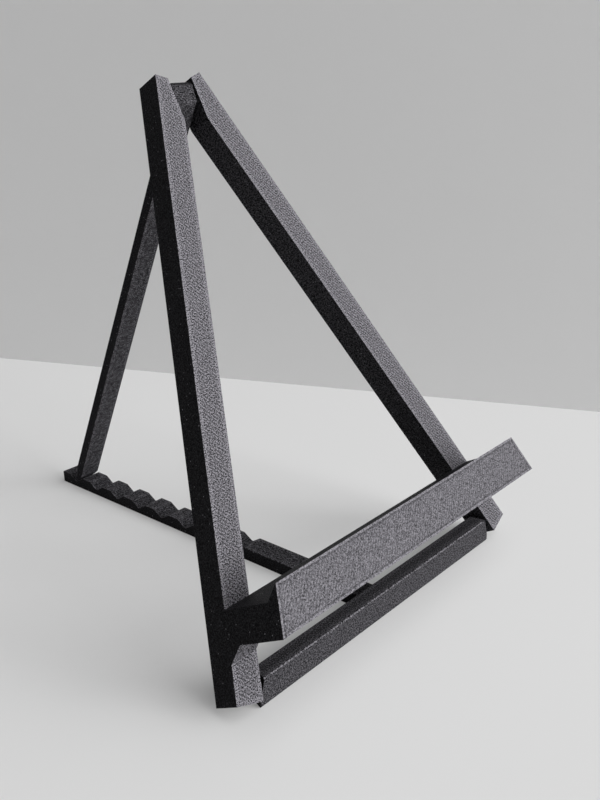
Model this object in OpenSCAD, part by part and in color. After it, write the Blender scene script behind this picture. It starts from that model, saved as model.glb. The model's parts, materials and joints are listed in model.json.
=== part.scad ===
// Folding easel for a small photo album: an A frame with a ledge, a prop leg and a notched T-shaped base.
// The origin is on the floor, under the base hinge, on the centre plane. +X is right, +Y is the rear, +Z is up.
// The frame, prop and base are drawn flat, as they fold away, and then turned about their hinges to stand.

/* [Frame] */
// Thickness of the frame, and of everything that folds into it
stock_t = 8; // [7:0.5:10]
// Width of each leg
leg_w = 8; // [7:0.5:11]
// Width of each leg's top end, beside the prop's head
leg_top_w = 4; // [3:0.1:5]
// Tilt of each leg from the centre line, in degrees
leg_splay = 19; // [14:0.5:24]
// Distance between the base hinge and the prop hinge
hinge_span = 150; // [120:1:200]
// Distance between the prop hinge and the inner top corners of the legs
hinge_below_top = 4; // [3:0.1:6]

/* [Ledge] */
// Height of the shelf's top above the base hinge, along the frame
shelf_height = 21.2; // [18:0.1:40]
// Thickness of the shelf
shelf_t = 8; // [5:0.5:9]
// How far the ledge stands out in front of the legs
ledge_depth = 19.7; // [15:0.1:30]
// Height of the lip above the shelf, and its thickness at the shelf
lip_h = 3.7; // [2:0.1:8]
// Leg length of the corner gusset under each end of the shelf
gusset_size = 4; // [2:0.5:5]

/* [Prop leg] */
// Width of the prop leg
prop_w = 7.6; // [6:0.1:8]
// Thickness of the prop leg's arm
prop_arm_t = 3.2; // [2.6:0.1:3.3]
// How far the prop's head reaches beyond its hinge
head_reach = 4.3; // [3.6:0.1:4.6]
// How far the head's rear face runs down from its hinge
head_heel = 3.5; // [2.5:0.1:5]
// Chamfer on the head's two top edges
head_chamfer = 3.3; // [1.5:0.1:3.4]
// Length over which the foot narrows on its front face
foot_front_len = 2.5; // [1:0.1:4]
// Length over which the foot narrows on its rear face
foot_rear_len = 5; // [2:0.1:8]
// Depth of the foot's tip behind the prop's front face
foot_inset = 1.1; // [0.6:0.1:1.6]
// Width of the small flat at the foot's tip
foot_flat = 0.5; // [0.2:0.1:1]

/* [Base] */
// Depth of the crossbar from front to rear
bar_depth = 5.4; // [5:0.1:6]
// Chamfer along the crossbar's long edges
bar_chamfer = 0.5; // [0.2:0.1:0.8]
// Width of the rack
rack_w = 7.6; // [6:0.1:9]
// Distance between notches
notch_pitch = 11.55; // [10:0.05:12]
// Number of notches
notch_count = 8; // [3:1:10]
// Depth of each notch
notch_depth = 2; // [1:0.1:2.4]
// Slope of a notch's two sides, in degrees
notch_slope = 33; // [28:1:45]
// Width of the flat bottom of a notch
notch_flat = 0.6; // [0.3:0.1:1]
// Distance from the middle of the last notch to the rack's end
rack_end = 7.8; // [6.5:0.1:9]

/* [Hinges and gaps] */
// Radius of all three hinge pins
pin_r = 1; // [0.8:0.1:1.3]
// Depth of each pin in its leg
pin_depth = 2; // [1.5:0.1:2.5]
// Depth of each base pin in the crossbar
pin_seat = 6; // [4:0.5:10]
// Radial clearance of a pin in its leg
pin_clearance = 0.06; // [0.02:0.01:0.1]
// End clearance of a pin in its leg
pin_end_gap = 0.3; // [0.2:0.1:0.5]
// Gap on each side of the prop's head
head_gap = 0.5; // [0.3:0.1:0.8]
// Gap between the crossbar's ends and the legs
bar_gap = 1.1; // [1:0.05:1.5]
// Gap between the folded prop's foot and the crossbar
fold_gap = 0.35; // [0.3:0.05:0.6]
// Gap between the folded rack's end and the prop's head
rack_gap = 0.5; // [0.4:0.05:1]
// Height of the foot's tip above the notch's bottom
foot_lift = 0.75; // [0.6:0.05:1]
// Distance of the foot's tip in front of the notch's middle
foot_advance = 0.6; // [0:0.1:0.7]
// Gap between the legs' lowest corners and the floor
sole_gap = 0.05; // [0:0.05:0.5]

/* [Hidden] */
$fn = 64;
frame_colour = "#3b3b3f";
pin_colour = "#2e2e31";

// Small overrun that lets a cutter pass through a face
cut = 1;

// Prop and rack: half the frame's thickness each, so that they fold away one over the other
hinge_z = stock_t / 2;
rack_t = stock_t / 2;

// The prop's length, so that its foot folds in just above the crossbar
prop_len = hinge_span - bar_depth / 2 - fold_gap;
foot_tip_z = stock_t - foot_inset;

// The rack's length, so that its end folds in below the slope behind the prop's head
rack_len = hinge_span - head_heel - rack_t - rack_gap;

// Where the foot stands, seen from the base hinge
notch_run = notch_depth / tan(notch_slope);
last_notch_y = rack_len - rack_end;
foot_y = last_notch_y - foot_advance;
foot_drop = hinge_z - (rack_t - notch_depth + foot_lift);
foot_distance = sqrt(foot_y * foot_y + foot_drop * foot_drop);
tip_offset = foot_tip_z - foot_flat / 2 - hinge_z;
tip_distance = sqrt(prop_len * prop_len + tip_offset * tip_offset);

// The triangle of base hinge, prop hinge and foot sets both tilts, which are measured from upright
base_corner = acos(
    (hinge_span * hinge_span + foot_distance * foot_distance - tip_distance * tip_distance)
    / (2 * hinge_span * foot_distance)
);
frame_lean = 90 - base_corner + atan2(foot_drop, foot_y);
prop_hinge_y = hinge_span * sin(frame_lean);
prop_hinge_z = hinge_z + hinge_span * cos(frame_lean);
prop_lean = atan2(foot_y - prop_hinge_y, prop_hinge_z - hinge_z + foot_drop) + atan2(tip_offset, prop_len);

// Leg corners in the flat frame, measured from the base hinge
leg_tan = tan(leg_splay);
leg_inner_bottom_y = -(hinge_z * (1 - sin(frame_lean)) - sole_gap) / cos(frame_lean);
leg_outer_bottom_y = leg_inner_bottom_y + leg_w * sin(leg_splay);
head_half_gap = prop_w / 2 + head_gap;
gap_top_y = hinge_span + hinge_below_top;
leg_top_x = head_half_gap + leg_top_w * cos(leg_splay);
leg_top_y = gap_top_y + leg_top_w * sin(leg_splay);
leg_outer_bottom_x = leg_top_x + (leg_top_y - leg_outer_bottom_y) * leg_tan;
leg_inner_bottom_x = leg_outer_bottom_x - leg_w * cos(leg_splay);
gap_bend_y = leg_inner_bottom_y + (leg_inner_bottom_x - head_half_gap) / leg_tan;
foot_span = 2 * leg_outer_bottom_x;

// Ledge heights in the flat frame
shelf_top_y = shelf_height;
shelf_bottom_y = shelf_height - shelf_t;
ledge_front_z = stock_t + ledge_depth;

// Half width between the legs' outer faces, and between their inner faces, at a height in the flat frame
function outer_half(y) = leg_outer_bottom_x - (y - leg_outer_bottom_y) * leg_tan;
function inner_half(y) = leg_inner_bottom_x - (y - leg_inner_bottom_y) * leg_tan;

// Turns the flat frame up about the base hinge
module frame_stands() {
    translate([0, 0, hinge_z])
        rotate([90 - frame_lean, 0, 0])
            translate([0, 0, -hinge_z])
                children();
}

// Turns the flat prop about its own hinge, which is at its local origin's height
module prop_stands() {
    translate([0, prop_hinge_y, prop_hinge_z])
        rotate([90 + prop_lean, 0, 0])
            translate([0, 0, -hinge_z])
                children();
}

// A cylinder along X through a hinge's axis
module pin_rod(radius, start_x, end_x, y) {
    translate([start_x, y, hinge_z])
        rotate([0, 90, 0])
            cylinder(h = end_x - start_x, r = radius);
}

// An outline in Y and Z, drawn out along X and centred on the centre plane
module across(width) {
    translate([-width / 2, 0, 0])
        rotate([90, 0, 90])
            linear_extrude(height = width)
                children();
}

// Flat right leg, with blind bores for the ends of the hinge pins
module flat_leg() {
    base_bore_x = inner_half(0);
    difference() {
        linear_extrude(height = stock_t)
            polygon([
                [leg_inner_bottom_x, leg_inner_bottom_y],
                [leg_outer_bottom_x, leg_outer_bottom_y],
                [leg_top_x, leg_top_y],
                [head_half_gap, gap_top_y],
                [head_half_gap, gap_bend_y]
            ]);
        pin_rod(
            pin_r + pin_clearance, head_half_gap - cut, head_half_gap + pin_depth + pin_end_gap, hinge_span
        );
        pin_rod(pin_r + pin_clearance, base_bore_x - cut, base_bore_x + pin_depth + pin_end_gap, 0);
    }
}

module left_leg() {
    color(frame_colour)
        frame_stands()
            mirror([1, 0, 0])
                flat_leg();
}

module right_leg() {
    color(frame_colour)
        frame_stands()
            flat_leg();
}

// Shelf with its front lip, whose back slopes at 45 degrees, and whose ends follow the legs' outer faces
module album_ledge() {
    color(frame_colour)
        frame_stands()
            intersection() {
                across(foot_span)
                    polygon([
                        [shelf_bottom_y, stock_t],
                        [shelf_top_y, stock_t],
                        [shelf_top_y, ledge_front_z - lip_h],
                        [shelf_top_y + lip_h, ledge_front_z],
                        [shelf_bottom_y, ledge_front_z]
                    ]);
                linear_extrude(height = ledge_front_z + cut)
                    polygon([
                        [-outer_half(shelf_bottom_y), shelf_bottom_y],
                        [outer_half(shelf_bottom_y), shelf_bottom_y],
                        [outer_half(shelf_top_y + lip_h), shelf_top_y + lip_h],
                        [-outer_half(shelf_top_y + lip_h), shelf_top_y + lip_h]
                    ]);
            }
}

// Flat right gusset: a triangle between the shelf's underside and the leg, as wide as the leg
module flat_gusset() {
    gusset_low_y = shelf_bottom_y - gusset_size;
    intersection() {
        across(foot_span)
            polygon([
                [gusset_low_y, stock_t],
                [shelf_bottom_y, stock_t],
                [shelf_bottom_y, stock_t + gusset_size]
            ]);
        linear_extrude(height = stock_t + gusset_size + cut)
            polygon([
                [inner_half(gusset_low_y), gusset_low_y],
                [outer_half(gusset_low_y), gusset_low_y],
                [outer_half(shelf_bottom_y), shelf_bottom_y],
                [inner_half(shelf_bottom_y), shelf_bottom_y]
            ]);
    }
}

module left_gusset() {
    color(frame_colour)
        frame_stands()
            mirror([1, 0, 0])
                flat_gusset();
}

module right_gusset() {
    color(frame_colour)
        frame_stands()
            flat_gusset();
}

// Prop leg: a head as thick as the frame, a thin arm flush with its front, and a wedge-shaped foot
module prop_leg() {
    arm_z = stock_t - prop_arm_t;
    color(frame_colour)
        prop_stands()
            difference() {
                across(prop_w)
                    polygon([
                        [head_reach - head_chamfer, stock_t],
                        [head_reach, stock_t - head_chamfer],
                        [head_reach, head_chamfer],
                        [head_reach - head_chamfer, 0],
                        [-head_heel, 0],
                        [-head_heel - arm_z, arm_z],
                        [foot_rear_len - prop_len, arm_z],
                        [-prop_len, foot_tip_z - foot_flat],
                        [-prop_len, foot_tip_z],
                        [foot_front_len - prop_len, stock_t]
                    ]);
                pin_rod(pin_r, -prop_w / 2 - cut, prop_w / 2 + cut, 0);
            }
}

// Pin pressed through the prop's head, with an end running in each leg
module top_hinge_pin() {
    half_len = head_half_gap + pin_depth;
    color(pin_colour)
        prop_stands()
            pin_rod(pin_r, -half_len, half_len, 0);
}

// Space between the legs' inner faces, less the crossbar's end gaps, in the flat frame
module bar_space() {
    reach = hinge_z + bar_depth;
    side_gap = bar_gap / cos(leg_splay);
    translate([0, 0, hinge_z - reach])
        linear_extrude(height = 2 * reach)
            polygon([
                [-inner_half(-reach) + side_gap, -reach],
                [inner_half(-reach) - side_gap, -reach],
                [inner_half(reach) - side_gap, reach],
                [-inner_half(reach) + side_gap, reach]
            ]);
}

// Half length of the crossbar's pin seats, which start inside its ends
pin_seat_x = inner_half(0) - pin_seat;

// Crossbar between the legs' feet: its ends clear the legs both standing and folded
module base_crossbar() {
    half_depth = bar_depth / 2;
    seat_end_x = inner_half(0) + cut;
    color(frame_colour)
        difference() {
            intersection() {
                across(foot_span)
                    polygon([
                        [-half_depth, bar_chamfer],
                        [-half_depth + bar_chamfer, 0],
                        [half_depth, 0],
                        [half_depth, stock_t - bar_chamfer],
                        [half_depth - bar_chamfer, stock_t],
                        [-half_depth + bar_chamfer, stock_t],
                        [-half_depth, stock_t - bar_chamfer]
                    ]);
                bar_space();
                frame_stands()
                    bar_space();
            }
            pin_rod(pin_r, pin_seat_x, seat_end_x, 0);
            pin_rod(pin_r, -seat_end_x, -pin_seat_x, 0);
        }
}

// Rack behind the crossbar: a flat bar with notches across its top for the prop's foot
module base_rack() {
    color(frame_colour)
        across(rack_w)
            difference() {
                translate([bar_depth / 2, 0])
                    square([rack_len - bar_depth / 2, rack_t]);
                for (i = [0 : notch_count - 1])
                    translate([last_notch_y - i * notch_pitch, rack_t])
                        notch_outline();
            }
}

// Outline of one notch, with its top edge at the rack's top
module notch_outline() {
    half_top = notch_flat / 2 + notch_run;
    over = cut / tan(notch_slope);
    polygon([
        [-notch_flat / 2, -notch_depth],
        [notch_flat / 2, -notch_depth],
        [half_top + over, cut],
        [-half_top - over, cut]
    ]);
}

// Pins pressed into the crossbar's ends and running in the legs
module left_base_pin() {
    color(pin_colour)
        pin_rod(pin_r, -inner_half(0) - pin_depth, -pin_seat_x, 0);
}

module right_base_pin() {
    color(pin_colour)
        pin_rod(pin_r, pin_seat_x, inner_half(0) + pin_depth, 0);
}

left_leg();
right_leg();
album_ledge();
left_gusset();
right_gusset();
prop_leg();
top_hinge_pin();
base_crossbar();
base_rack();
left_base_pin();
right_base_pin();
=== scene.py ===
import json
import math

import bmesh
import bpy
from mathutils import Matrix, Vector


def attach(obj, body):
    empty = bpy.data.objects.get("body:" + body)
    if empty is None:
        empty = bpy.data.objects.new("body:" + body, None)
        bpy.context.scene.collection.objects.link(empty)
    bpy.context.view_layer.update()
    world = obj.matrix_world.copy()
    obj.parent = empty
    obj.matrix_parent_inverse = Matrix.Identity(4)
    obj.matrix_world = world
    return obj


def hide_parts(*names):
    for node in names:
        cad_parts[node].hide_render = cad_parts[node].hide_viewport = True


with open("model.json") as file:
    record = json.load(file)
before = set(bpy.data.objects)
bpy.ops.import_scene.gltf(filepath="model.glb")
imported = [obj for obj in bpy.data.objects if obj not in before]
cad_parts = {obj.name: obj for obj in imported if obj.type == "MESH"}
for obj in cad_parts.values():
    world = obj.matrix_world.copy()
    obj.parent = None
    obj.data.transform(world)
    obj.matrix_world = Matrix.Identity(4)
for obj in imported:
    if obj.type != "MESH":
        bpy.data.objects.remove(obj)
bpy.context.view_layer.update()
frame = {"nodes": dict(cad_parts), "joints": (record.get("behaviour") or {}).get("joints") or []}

mm = 0.001
print("frame loaded")


def hexColour(code):
    # sRGB hex to the linear colour that the nodes take
    parts = [int(code[i:i + 2], 16) / 255 for i in (1, 3, 5)]
    return [c / 12.92 if c <= 0.04045 else ((c + 0.055) / 1.055) ** 2.4 for c in parts] + [1.0]


def addNode(tree, kind, inputs=None, **settings):
    # one node, its settings, and for each input either a link or a value
    made = tree.nodes.new("ShaderNode" + kind)
    for name, value in settings.items():
        setattr(made, name, value)
    for key, value in (inputs or {}).items():
        if isinstance(value, bpy.types.NodeSocket):
            tree.links.new(value, made.inputs[key])
        else:
            made.inputs[key].default_value = value
    return made


def newMaterial(name):
    material = bpy.data.materials.new(name)
    material.use_nodes = True
    material.node_tree.nodes.clear()
    return material, material.node_tree


def linkPiece(name, mesh, material):
    piece = bpy.data.objects.new(name, mesh)
    bpy.context.scene.collection.objects.link(piece)
    mesh.materials.clear()
    mesh.materials.append(material)
    return piece


# How each print lay on the printer's bed: the pattern of its lines is drawn in those flat coordinates
hinges = {joint["name"]: Vector(joint["pos_m"]) for joint in frame["joints"]}
baseHinge, propHinge = hinges["base_hinge"], hinges["prop_hinge"]
bedPose = {
    "stockThickness": 8 * mm,
    "propLean": 26.0687,  # degrees from upright, with the stand set up
}
frameLean = math.atan2(propHinge.y - baseHinge.y, propHinge.z - baseHinge.z)
halfStock = Vector((0, 0, bedPose["stockThickness"] / 2))


def toBed(hinge, turn):
    # from the stand as it is set up to the bed, with the hinge at y = 0 and the underside at z = 0
    return Matrix.Translation(halfStock) @ Matrix.Rotation(-turn, 4, "X") @ Matrix.Translation(-hinge)


frameToBed = toBed(baseHinge, math.pi / 2 - frameLean)
propToBed = toBed(propHinge, math.radians(bedPose["propLean"]) - math.pi / 2)
baseToBed = Matrix.Identity(4)


shot = {
    "place": (-0.186196, -0.133449, 0.147807),
    "turn": 48.944,  # from +Y towards +X
    "dip": 20.339,
    "roll": -1.327,
    "lens": 42.52,
    "sensor": 36,
    "nearClip": 0.01,
}
camera = bpy.data.objects.new("camera", bpy.data.cameras.new("camera"))
bpy.context.scene.collection.objects.link(camera)
camera.data.sensor_fit = "VERTICAL"
camera.data.sensor_width = camera.data.sensor_height = shot["sensor"]
camera.data.lens = shot["lens"]
camera.data.clip_start = shot["nearClip"]
camera.matrix_world = (
    Matrix.Translation(shot["place"])
    @ Matrix.Rotation(-math.radians(shot["turn"]), 4, "Z")
    @ Matrix.Rotation(math.radians(90 - shot["dip"]), 4, "X")
    @ Matrix.Rotation(math.radians(shot["roll"]), 4, "Z")
)
bpy.context.scene.camera = camera
print("camera set")


# Matte PLA with a little glitter, laid by a 0.4 mm nozzle; lengths in mm. The top of a print shows
# diagonal lines, broken into short dashes, inside two lighter lines that follow its outline.
# Its walls are nearly black, and the side that lay on the bed is a little lighter and uneven; part of the
# difference between tops, walls and undersides is painted light and shade.
pla = {
    "groove": "#070709",  # between the lines, and the walls
    "ridge": "#8c8a90",  # dry grey tops of the lines
    "rimHighlight": "#aaa8ae",  # the softened edge of the higher top layer, painted lighter as a highlight where it catches the light
    "fleck": "#7c7b80",
    "roughness": 0.55,
    "ior": 1.46,
    "specular": 0.03,  # the lines' rough tops keep gloss low
    "linePitch": 0.43,
    "ridgePower": 0.6,  # below 1, so that ridges are broad and grooves narrow
    "wander": 0.4,  # of the top lines from straight
    "wanderScale": 0.8,  # bends in each mm
    "hatchAngle": 41,
    "dashLength": 0.65,
    "perimeterWidth": 1.1,  # two lines round the outline
    "perimeterPitch": 0.55,
    "gapStart": 0.6,  # on the higher top layer, a dark gap stands in place of the inner of the two
    "gapLight": 0.7,
    "layer": 0.4,  # layers are 0.2 mm, drawn twice as coarse so that they show
    "hatchContrast": 0.36,
    "upperContrast": 0.45,  # of the hatch on the higher top layer, against the lower one
    "dashContrast": 1.5,
    "topGrain": 8.0,
    "layerContrast": 0.35,
    "sideGrain": 8.0,
    "grainLength": 0.38,  # along a layer on the walls
    "bandLight": 1.4,  # against the hatched part inside it
    "upperSlope": 0.78,  # gentle slopes on top; steeper ones take each piece's chamfer factor, which on the base is a painted highlight
    "slopePaintedLight": 0.155,  # slopes underneath, lighter than the walls: partly their rough overhang surface, partly painted light
    "outerWallPaintedShade": 0.05,  # walls that face out to the left or right, with painted shade that keeps them darker
    "innerWallPaintedLight": 0.13,  # walls that face the centre line, with painted light that makes them lighter
    "patch": 1.3,  # underneath, where the first layer stuck more or less to the bed
    "patchContrast": 3.4,
    "bandUnderneath": 1.3,  # against the rest of the underside
    "grain": 0.32,
    "grainRelief": 5.0,
    "fleckSize": 0.22,
    "fleckShare": 0.003,
    "relief": 0.04,
}
# How far a face looks up, down or sideways to count as one kind, where 1 is straight
facings = {"slope": 0.5, "side": 0.7, "chamfer": 0.8, "flat": 0.9, "level": 0.97}
# What the perimeter map says off the flat faces, and past the outline's lines
marks = {"offFlat": -1, "inside": 10}


def printedPla(name, bed, look):
    material, tree = newMaterial(name)
    turn, place = bed.to_euler(), bed.translation / mm

    def mathNode(operation, *values, clamp=False):
        made = addNode(tree, "Math", dict(enumerate(values)), operation=operation, use_clamp=clamp)
        return made.outputs[0]

    def mixed(factor, first, second):
        return addNode(tree, "Mix", {0: factor, 2: first, 3: second}).outputs[0]

    def blended(factor, first, second):
        return addNode(tree, "Mix", {0: factor, 6: first, 7: second}, data_type="RGBA").outputs[2]

    def rounded(coordinate, pitch):
        # one rounded ridge for each line of filament
        wave = mathNode("ABSOLUTE", mathNode("SINE", mathNode("MULTIPLY", coordinate, math.pi / pitch)))
        return mathNode("POWER", wave, pla["ridgePower"])

    def noise(vector, scale, detail):
        # spread evenly about zero
        made = addNode(tree, "TexNoise", {"Vector": vector, "Scale": scale, "Detail": detail})
        return mathNode("SUBTRACT", made.outputs["Fac"], 0.5)

    def axes(vector):
        return addNode(tree, "SeparateXYZ", {0: vector}).outputs

    # where a point lay on the bed, which way it faced there, and how far it is from its face's outline
    where = addNode(tree, "TexCoord").outputs
    flat = addNode(tree, "Mapping", {
        "Vector": where["Object"], "Location": place, "Rotation": turn, "Scale": (1 / mm,) * 3,
    }).outputs[0]
    facing = addNode(tree, "Mapping", {
        "Vector": where["Normal"], "Rotation": turn,
    }, vector_type="VECTOR").outputs[0]
    flatX, flatY, flatZ = axes(flat)
    facingX, _, facingUp = axes(facing)
    fromEdge = axes(addNode(tree, "UVMap", uv_map="perimeter").outputs[0])[1]
    onSide = mathNode("GREATER_THAN", mathNode("ABSOLUTE", facingX), facings["side"])
    onTop = mathNode("GREATER_THAN", facingUp, facings["slope"])
    onSlope = mathNode("GREATER_THAN", mathNode("ABSOLUTE", facingUp), facings["slope"])
    onFlat = mathNode("GREATER_THAN", mathNode("ABSOLUTE", facingUp), facings["flat"])
    inBand = mathNode("LESS_THAN", fromEdge, pla["perimeterWidth"])

    # diagonal top lines, which turn by nearly a right angle on the higher of two top layers
    angle = math.radians(pla["hatchAngle"])
    upper = mathNode("GREATER_THAN", flatZ, look["upperLayer"])
    flip = mathNode("MULTIPLY_ADD", upper, -2.0, 1.0)
    flippedX = mathNode("MULTIPLY", flatX, flip)
    hatchPlace = addNode(tree, "Mapping", {
        "Vector": addNode(tree, "CombineXYZ", {0: flippedX, 1: flatY}).outputs[0],
        "Rotation": (0, 0, -angle),
    }).outputs[0]
    wander = noise(flat, pla["wanderScale"], 2.0)
    across = mathNode("MULTIPLY_ADD", wander, pla["wander"], axes(hatchPlace)[0])
    pairWave = mathNode("SINE", mathNode("MULTIPLY", across, math.pi / pla["linePitch"]))
    dashPlace = addNode(tree, "Mapping", {
        "Vector": hatchPlace, "Scale": (1 / pla["linePitch"], 1 / pla["dashLength"], 1),
    }).outputs[0]
    dash = noise(dashPlace, 1.0, 1.0)

    # a fine grain, drawn out along the layers on the walls, and glitter flecks here and there
    layerPlace = addNode(tree, "Mapping", {
        "Vector": flat, "Scale": (1 / pla["grainLength"], 1 / pla["grainLength"], 1 / pla["layer"]),
    }).outputs[0]
    grain = mixed(onFlat, noise(layerPlace, 1.0, 2.0), noise(flat, 1 / pla["grain"], 1.0))
    cells = addNode(tree, "TexVoronoi", {"Vector": flat, "Scale": 1 / pla["fleckSize"]})
    cellRandom = addNode(tree, "SeparateColor", {0: cells.outputs["Color"]}).outputs[0]
    fleck = mathNode("GREATER_THAN", cellRandom, 1 - pla["fleckShare"])

    # how much of the lighter line tops shows, with less contrast on the higher top layer
    evenness = mathNode("MULTIPLY_ADD", upper, pla["upperContrast"] - 1, 1.0)
    hatch = mathNode("MULTIPLY", pairWave, pla["hatchContrast"])
    hatch = mathNode("MULTIPLY_ADD", dash, pla["dashContrast"], hatch)
    hatch = mathNode("MULTIPLY_ADD", hatch, evenness, 1.0)
    onChamfer = mathNode("LESS_THAN", facingUp, facings["chamfer"])
    onGap = mathNode("MULTIPLY", upper, mathNode("GREATER_THAN", fromEdge, pla["gapStart"]))
    outline = mixed(onGap, pla["bandLight"], pla["gapLight"])
    # on the base the chamfer factor paints a bright highlight line along the crossbar's chamfer
    plain = mixed(onFlat, mixed(onChamfer, pla["upperSlope"], look["chamfer"]), outline)
    top = mathNode("MULTIPLY", mixed(inBand, hatch, plain), look["top"])

    # walls by the way they face, with painted light that makes those facing the centre line lighter than
    # those facing out, and the uneven underside
    inward = mathNode("LESS_THAN", mathNode("MULTIPLY", flatX, facingX), 0.0)
    wall = mixed(onSide, look["wall"], mixed(inward, pla["outerWallPaintedShade"], pla["innerWallPaintedLight"]))
    even = mixed(inBand, 1.0, pla["bandUnderneath"])
    patches = mathNode("MULTIPLY_ADD", noise(flat, 1 / pla["patch"], 2.0), pla["patchContrast"], even)
    underside = mathNode("MULTIPLY", patches, look["underside"])
    side = mixed(onFlat, mixed(onSlope, wall, pla["slopePaintedLight"]), underside)

    # the line tops' grey over the grooves' black, then the painted highlight on the rim, and the flecks
    light = mixed(onTop, side, top)
    layerWave = mathNode("SINE", mathNode("MULTIPLY", flatZ, 2 * math.pi / pla["layer"]))
    layerLight = mathNode("MULTIPLY", layerWave, mixed(onFlat, pla["layerContrast"], 0.0))
    topGrain = mathNode("MULTIPLY", evenness, pla["topGrain"])
    speckle = mathNode("MULTIPLY_ADD", grain, mixed(onTop, pla["sideGrain"], topGrain), 1.0)
    speckle = mathNode("ADD", speckle, layerLight)
    light = mathNode("MULTIPLY", light, speckle, clamp=True)
    colour = blended(light, hexColour(pla["groove"]), hexColour(pla["ridge"]))
    # painted highlight: the bevel's facets along the edges of the higher top layer take the lighter rim
    # colour
    onHighlightedRim = mathNode("MULTIPLY", upper, mathNode("GREATER_THAN", facingUp, facings["flat"]))
    onHighlightedRim = mathNode("MULTIPLY", mathNode("LESS_THAN", facingUp, facings["level"]), onHighlightedRim)
    colour = blended(onHighlightedRim, colour, hexColour(pla["rimHighlight"]))
    colour = blended(fleck, colour, hexColour(pla["fleck"]))

    flatHeight = mixed(inBand, rounded(across, pla["linePitch"]), rounded(fromEdge, pla["perimeterPitch"]))
    height = mixed(onFlat, rounded(flatZ, pla["layer"]), flatHeight)
    height = mathNode("MULTIPLY_ADD", grain, pla["grainRelief"], height)
    bump = addNode(tree, "Bump", {"Height": height, "Distance": pla["relief"] * mm, "Strength": 1.0})
    shader = addNode(tree, "BsdfPrincipled", {
        "Base Color": colour,
        "Metallic": fleck,
        "Roughness": pla["roughness"],
        "IOR": pla["ior"],
        "Specular IOR Level": pla["specular"],
        "Normal": bump.outputs[0],
    })
    addNode(tree, "OutputMaterial", {0: shader.outputs[0]})
    return material


# The frame, the prop and the base are three prints, each one closed mesh with softened edges
printShape = {
    "edgeRadius": 0.22 * mm,
    "segments": 2,
    "sharpAngle": 25,  # degrees
    "shortEdge": 0.6 * mm,  # left sharp
    "weld": 0.001 * mm,
    "speck": 0.01 * mm,  # edges this short are dissolved after the bevel
    "coplanarAngle": 0.5,  # degrees
    "levelFace": 0.999,
    "cutSlack": 1e-7,
}


def cadCopy(node):
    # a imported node's loose triangles, welded
    bm = bmesh.new()
    bm.from_mesh(frame["nodes"][node].data)
    bmesh.ops.remove_doubles(bm, verts=bm.verts, dist=printShape["weld"])
    mesh = bpy.data.meshes.new(node + "_copy")
    bm.to_mesh(mesh)
    bm.free()
    return mesh


def joined(nodes):
    # one closed mesh from solids that meet face to face
    scratch = [bpy.data.objects.new(n + "_part", cadCopy(n)) for n in nodes]
    for part in scratch:
        bpy.context.scene.collection.objects.link(part)
    whole = scratch[0]
    for part in scratch[1:]:
        union = whole.modifiers.new("union", "BOOLEAN")
        union.operation = "UNION"
        union.solver = "EXACT"
        union.object = part
    bpy.context.view_layer.update()
    mesh = bpy.data.meshes.new_from_object(whole.evaluated_get(bpy.context.evaluated_depsgraph_get()))
    for part in scratch:
        bpy.data.objects.remove(part)
    return mesh


def markPerimeters(bm, up):
    # cuts each flat face a perimeter's width inside its outline, and maps how far every corner is from it
    uvLayer = bm.loops.layers.uv.new("perimeter")
    width = pla["perimeterWidth"] * mm
    for face in bm.faces:
        for loop in face.loops:
            loop[uvLayer].uv = (0, marks["offFlat"])
    for face in [f for f in bm.faces if abs(f.normal.dot(up)) > printShape["levelFace"]]:
        lines = []
        for loop in face.loops:
            e = loop.edge
            if e.is_convex and e.calc_length() > printShape["shortEdge"]:
                along = (loop.link_loop_next.vert.co - loop.vert.co).normalized()
                lines.append((loop.vert.co.copy(), face.normal.cross(along), along))
        cells = [face]
        for co, inward, along in lines:
            geom = list({g for c in cells for g in [c, *c.edges, *c.verts]})
            cut = bmesh.ops.bisect_plane(
                bm, geom=geom, plane_co=co + inward * width, plane_no=inward, dist=printShape["cutSlack"],
            )
            cells = [g for g in cut["geom"] if isinstance(g, bmesh.types.BMFace)]
        for cell in cells:
            centre = cell.calc_center_median()
            reach = [((centre - co).dot(inward), co, inward, along) for co, inward, along in lines]
            reach = [line for line in reach if line[0] > 0]
            distance, co, inward, along = min(reach, key=lambda r: r[0]) if reach else (1, centre, up, up)
            for loop in cell.loops:
                if distance < width:
                    offset = loop.vert.co - co
                    loop[uvLayer].uv = (offset.dot(along) / mm, offset.dot(inward) / mm)
                else:
                    loop[uvLayer].uv = (0, marks["inside"])


def printPiece(name, nodes, body, bed, material):
    mesh = joined(nodes) if len(nodes) > 1 else cadCopy(nodes[0])
    bm = bmesh.new()
    bm.from_mesh(mesh)
    bmesh.ops.remove_doubles(bm, verts=bm.verts, dist=printShape["weld"])
    coplanar, sharpest = math.radians(printShape["coplanarAngle"]), math.radians(printShape["sharpAngle"])
    bmesh.ops.dissolve_limit(bm, angle_limit=coplanar, verts=bm.verts, edges=bm.edges)
    sharp = [
        e for e in bm.edges
        if len(e.link_faces) == 2 and e.is_convex
        and e.calc_face_angle() > sharpest and e.calc_length() > printShape["shortEdge"]
    ]
    bmesh.ops.bevel(
        bm, geom=sharp, offset=printShape["edgeRadius"], offset_type="OFFSET", affect="EDGES",
        segments=printShape["segments"], profile=0.5, material=-1, clamp_overlap=True,
    )
    bmesh.ops.dissolve_degenerate(bm, dist=printShape["speck"], edges=bm.edges)
    up = bed.to_3x3().inverted() @ Vector((0, 0, 1))
    bm.normal_update()
    markPerimeters(bm, up)
    bm.to_mesh(mesh)
    bm.free()
    piece = linkPiece(name, mesh, material)
    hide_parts(*nodes)
    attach(piece, body)
    print(name, "made,", len(mesh.polygons), "faces")
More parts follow.
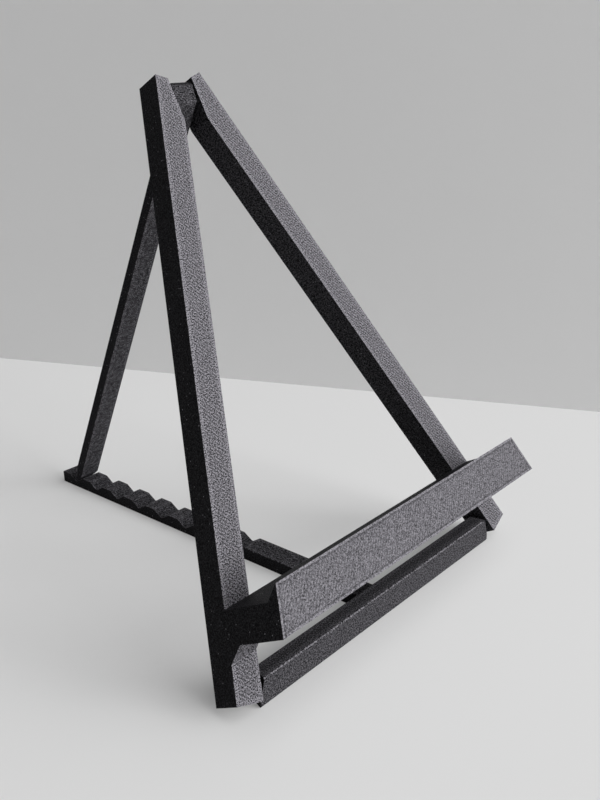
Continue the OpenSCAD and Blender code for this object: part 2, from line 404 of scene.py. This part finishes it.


# How light each kind of face is, partly the print's own finish and partly painted light and shade, and the
# height on the bed above which the ledge's front is the top layer.
# The prop and the base have no second top layer, so theirs is out of reach.
looks = {
    "frame": {"top": 0.48, "wall": 0.055, "underside": 0.13, "chamfer": 0.7, "upperLayer": 20.0},
    "prop": {"top": 0.48, "wall": 0.06, "underside": 0.165, "chamfer": 0.7, "upperLayer": 1000.0},
    # the base's top is painted dark with the shade under the ledge, its walls painted lighter where the
    # crossbar's front faces the lamps, and its chamfer factor paints a highlight
    "base": {"top": 0.16, "wall": 0.2, "underside": 0.1, "chamfer": 2.6, "upperLayer": 1000.0},
}
framePla = printedPla("matte_pla_frame", frameToBed, looks["frame"])
propPla = printedPla("matte_pla_prop", propToBed, looks["prop"])
basePla = printedPla("matte_pla_base", baseToBed, looks["base"])
frameSolids = ["album_ledge", "left_leg", "right_leg", "left_gusset", "right_gusset"]
printPiece("frame_print", frameSolids, "frame", frameToBed, framePla)
printPiece("prop_print", ["prop_leg"], "prop", propToBed, propPla)
printPiece("base_print", ["base_crossbar", "base_rack"], "base", baseToBed, basePla)
for pin in ("top_hinge_pin", "left_base_pin", "right_base_pin"):
    for materialSlot in frame["nodes"][pin].material_slots:
        materialSlot.material = basePla


# A plain room corner: pale floor, pale wall and soft lamps at the front right
room = {
    "floor": "#eeeeee",
    "wall": "#eeeeee",
    "floorGlow": "#dadada",  # what the camera and reflections see besides the lit paint
    "wallGlow": "#cccccc",
    "glowShare": 0.3,
    "background": "#b4b4b4",
    "floorSize": 2.2,
    "wallSize": 1.8,
    "wallFoot": (0.129894, 0.141647),  # the middle of the wall's line on the floor
    "wallAngle": -67.768,  # degrees from facing the front
    "world": 0.02,  # light from all round
}
lamps = {
    "key_light": {"turn": 13, "height": 20, "away": 3.4, "width": 2.3, "tall": 2.0, "power": 90.0},
    "side_light": {"turn": 36, "height": 20, "away": 3.4, "width": 2.0, "tall": 2.0, "power": 44.0},
    "fill_light": {"turn": 80, "height": 32, "away": 3.4, "width": 3.1, "tall": 2.7, "power": 18.0},
    "top_light": {"turn": 20, "height": 64, "away": 3.0, "width": 2.7, "tall": 2.7, "power": 43.0},
}


def seenDirectly(tree):
    # 1 for rays from the camera, and for those that a reflection or clear material sends on
    path = addNode(tree, "LightPath").outputs
    seen = addNode(tree, "Math", {0: path["Is Camera Ray"], 1: path["Is Glossy Ray"]}, operation="MAXIMUM")
    through = {0: seen.outputs[0], 1: path["Is Transmission Ray"]}
    return addNode(tree, "Math", through, operation="MAXIMUM").outputs[0]


def paintedPlaster(name, colour, glow, oneSided):
    # emulsion on plaster: plain and matte
    material, tree = newMaterial(name)
    shader = addNode(tree, "BsdfDiffuse", {"Color": hexColour(colour)}).outputs[0]
    glowing = addNode(tree, "Emission", {"Color": hexColour(glow), "Strength": 1.0}).outputs[0]
    share = addNode(tree, "Math", {0: seenDirectly(tree), 1: room["glowShare"]}, operation="MULTIPLY")
    shader = addNode(tree, "MixShader", {0: share.outputs[0], 1: shader, 2: glowing}).outputs[0]
    if oneSided:
        behind = addNode(tree, "NewGeometry").outputs["Backfacing"]
        clear = addNode(tree, "BsdfTransparent").outputs[0]
        shader = addNode(tree, "MixShader", {0: behind, 1: shader, 2: clear}).outputs[0]
    addNode(tree, "OutputMaterial", {0: shader})
    return material


def stagePlane(name, size, placing, material, touchesLight=True):
    bm = bmesh.new()
    bmesh.ops.create_grid(bm, x_segments=1, y_segments=1, size=size / 2)
    bmesh.ops.transform(bm, matrix=placing, verts=bm.verts)
    mesh = bpy.data.meshes.new(name)
    bm.to_mesh(mesh)
    bm.free()
    plane = linkPiece(name, mesh, material)
    plane.visible_shadow = plane.visible_diffuse = touchesLight


floorPaint = paintedPlaster("floor_paint", room["floor"], room["floorGlow"], False)
stagePlane("floor", room["floorSize"], Matrix.Identity(4), floorPaint)
wallPaint = paintedPlaster("wall_paint", room["wall"], room["wallGlow"], True)
wallPlacing = (
    Matrix.Translation((*room["wallFoot"], 0))
    @ Matrix.Rotation(math.radians(room["wallAngle"]), 4, "Z")
    @ Matrix.Rotation(math.radians(90), 4, "X")
)
stagePlane("wall", room["wallSize"], wallPlacing, wallPaint, touchesLight=False)


for name, lamp in lamps.items():
    # turn is measured from the front towards the right, height above the floor, both in degrees
    area = bpy.data.lights.new(name, "AREA")
    area.shape = "RECTANGLE"
    area.size, area.size_y, area.energy = lamp["width"], lamp["tall"], lamp["power"]
    turn, height = math.radians(lamp["turn"]), math.radians(lamp["height"])
    level = math.cos(height)
    towards = Vector((math.sin(turn) * level, -math.cos(turn) * level, math.sin(height)))
    thing = bpy.data.objects.new(name, area)
    bpy.context.scene.collection.objects.link(thing)
    thing.location = towards * lamp["away"]
    thing.rotation_euler = (-towards).to_track_quat("-Z", "Y").to_euler()
    thing.visible_camera = False

world = bpy.data.worlds.new("world")
world.use_nodes = True
world.node_tree.nodes.clear()
sky = world.node_tree
dim = addNode(sky, "Background", {"Color": (1, 1, 1, 1), "Strength": room["world"]}).outputs[0]
pale = addNode(sky, "Background", {"Color": hexColour(room["background"]), "Strength": 1.0}).outputs[0]
both = addNode(sky, "MixShader", {0: seenDirectly(sky), 1: dim, 2: pale}).outputs[0]
addNode(sky, "OutputWorld", {0: both})
bpy.context.scene.world = world
bpy.context.scene.view_settings.view_transform = "Standard"
print("stage lit")
